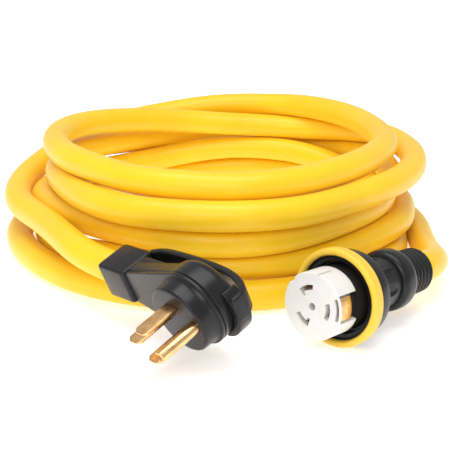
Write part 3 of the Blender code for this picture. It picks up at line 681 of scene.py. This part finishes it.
def gasket():
    """The rubber seal in the ring's bore."""
    low, high = RING_Z
    outer, inner = RING_BORE_R - GAP, 28.2
    profile = [(outer, high - 2.8), (outer, low), (inner, low), (inner, high - 5.4),
               *arc(28.9, high - 5.3, 0.7, 180, 90, 4),
               (31.2, high - 4.4), (31.9, high - 3.8), (32.2, high - 2.8)]
    finished(turned("seal", profile), CONNECTOR, "rubber", "ring_seal", ["ring_gasket"])


def housing():
    """The connector's body: a flange behind the ring and a neck with flutes round it."""
    flutes, flute_r, flute_z = 8, 5.0, -73.0
    profile = [(FLANGE_R - 1.4, -38.0), *arc(FLANGE_R - 1.4, -39.4, 1.4, 90, 0, 4), (FLANGE_R, -50.6),
               (FLANGE_R - 0.6, -52.4), (FLANGE_R - 2.2, -53.8), (NECK_R + 5.5, -55.2), (NECK_R + 2.6, -56.8),
               (NECK_R + 1.0, -59.0), (NECK_R + 0.2, -62.0), (NECK_R, -64.0), (NECK_R, -88.7), (17.2, -88.7),
               (17.2, -55.5), (NOSE_R + 0.3, -51), (NOSE_R + 0.3, -38.0)]
    body = turned("connector_body", profile)
    bm = bmesh.new()
    for i in range(flutes):
        angle = 2 * pi * i / flutes
        centre = Matrix.Translation(Vector(((NECK_R + 3.0) * cos(angle), (NECK_R + 3.0) * sin(angle), flute_z)) * MM)
        bmesh.ops.create_uvsphere(bm, u_segments=24, v_segments=16, radius=flute_r * MM,
                                  matrix=centre @ Matrix.Diagonal((1.1, 1.1, 2.5, 1)))
    combine(body, made_object("flutes", bm), "DIFFERENCE")
    finished(body, CONNECTOR, "black_plastic", "cord_and_ends", ["connector_housing"], angle=30)


def collar():
    """The clamp collar behind the neck."""
    profile = [(NECK_R - 0.4, -89.0), (NECK_R + 1.2, -89.3), (COLLAR_R - 1.2, -90.8), (COLLAR_R - 0.2, -93.0),
               (COLLAR_R, -95.5), (COLLAR_R, -101.5), (COLLAR_R - 0.5, -104.5), (COLLAR_R - 1.8, -107.2),
               (COLLAR_R - 4.6, -109.7), (14.5, -109.7), (14.5, -89.0)]
    body = turned("collar", profile)
    finished(body, CONNECTOR, "black_plastic", "cord_and_ends", ["connector_clamp_collar"])


def relief():
    """The strain relief: a smooth land in front, then ribs that get slightly smaller towards the rear."""
    rear, front = RELIEF_Z
    ribs, land = 5, 4
    pitch = (front - land - rear) / ribs
    profile = [(14.2, front), (RELIEF_R - 2.2, front)]
    for i in range(ribs):
        top = front - land - i * pitch
        peak = RELIEF_R - 0.15 * i
        foot = peak - 2.2
        profile += [(foot, top), (peak - 0.9, top - 0.3), (peak - 0.2, top - 0.9), (peak, top - 1.7),
                    (peak, top - pitch + 2.9), (peak - 0.3, top - pitch + 2.2), (peak - 1.0, top - pitch + 1.6),
                    (foot, top - pitch + 1.2)]
    profile += [(RELIEF_R - 4.6, rear), (13.2, rear), (13.2, front - 3)]
    body = turned("relief", profile)
    finished(body, CONNECTOR, "rubber", "cord_and_ends", ["connector_strain_relief"], angle=40)


nose()
ring()
gasket()
housing()
collar()
relief()

# ---------------------------------------------------------------- floor and lights

FLOOR_HALF = 30.0

floor_mesh = bpy.data.meshes.new("floor")
floor_mesh.from_pydata([(x * FLOOR_HALF, y * FLOOR_HALF, 0) for x, y in ((-1, -1), (1, -1), (1, 1), (-1, 1))], [],
                       [(0, 1, 2, 3)])
floor_paint = bpy.data.materials.new("floor")
floor_paint.use_nodes = True
floor_shader = floor_paint.node_tree.nodes["Principled BSDF"]
floor_shader.inputs["Base Color"].default_value = (0.93, 0.93, 0.93, 1)
floor_shader.inputs["Roughness"].default_value = 0.9
floor_shader.inputs["Emission Color"].default_value = (1, 1, 1, 1)
floor_shader.inputs["Emission Strength"].default_value = 0.47
floor_mesh.materials.append(floor_paint)
floor = bpy.data.objects.new("floor", floor_mesh)
bpy.context.scene.collection.objects.link(floor)

world = bpy.data.worlds.new("world")
world.use_nodes = True
background = world.node_tree.nodes["Background"]
background.inputs["Color"].default_value = (1, 1, 1, 1)
background.inputs["Strength"].default_value = 0.58
bpy.context.scene.world = world
bpy.context.scene.view_settings.view_transform = "Standard"


def softbox(name, place, aim, size, power):
    """A rectangular area light of so many watts at place, turned towards aim."""
    light = bpy.data.lights.new(name, "AREA")
    light.shape = "RECTANGLE"
    light.size, light.size_y = size
    light.energy = power
    obj = bpy.data.objects.new(name, light)
    obj.location = place
    obj.rotation_euler = (Vector(aim) - Vector(place)).to_track_quat("-Z", "Y").to_euler()
    bpy.context.scene.collection.objects.link(obj)


softbox("top", (-0.15, -0.1, 1.7), (0, 0.15, 0), (1.6, 1.0), 17)
softbox("front", (-0.5, -1.9, 1.3), (0, 0.1, 0.03), (1.6, 0.8), 15)
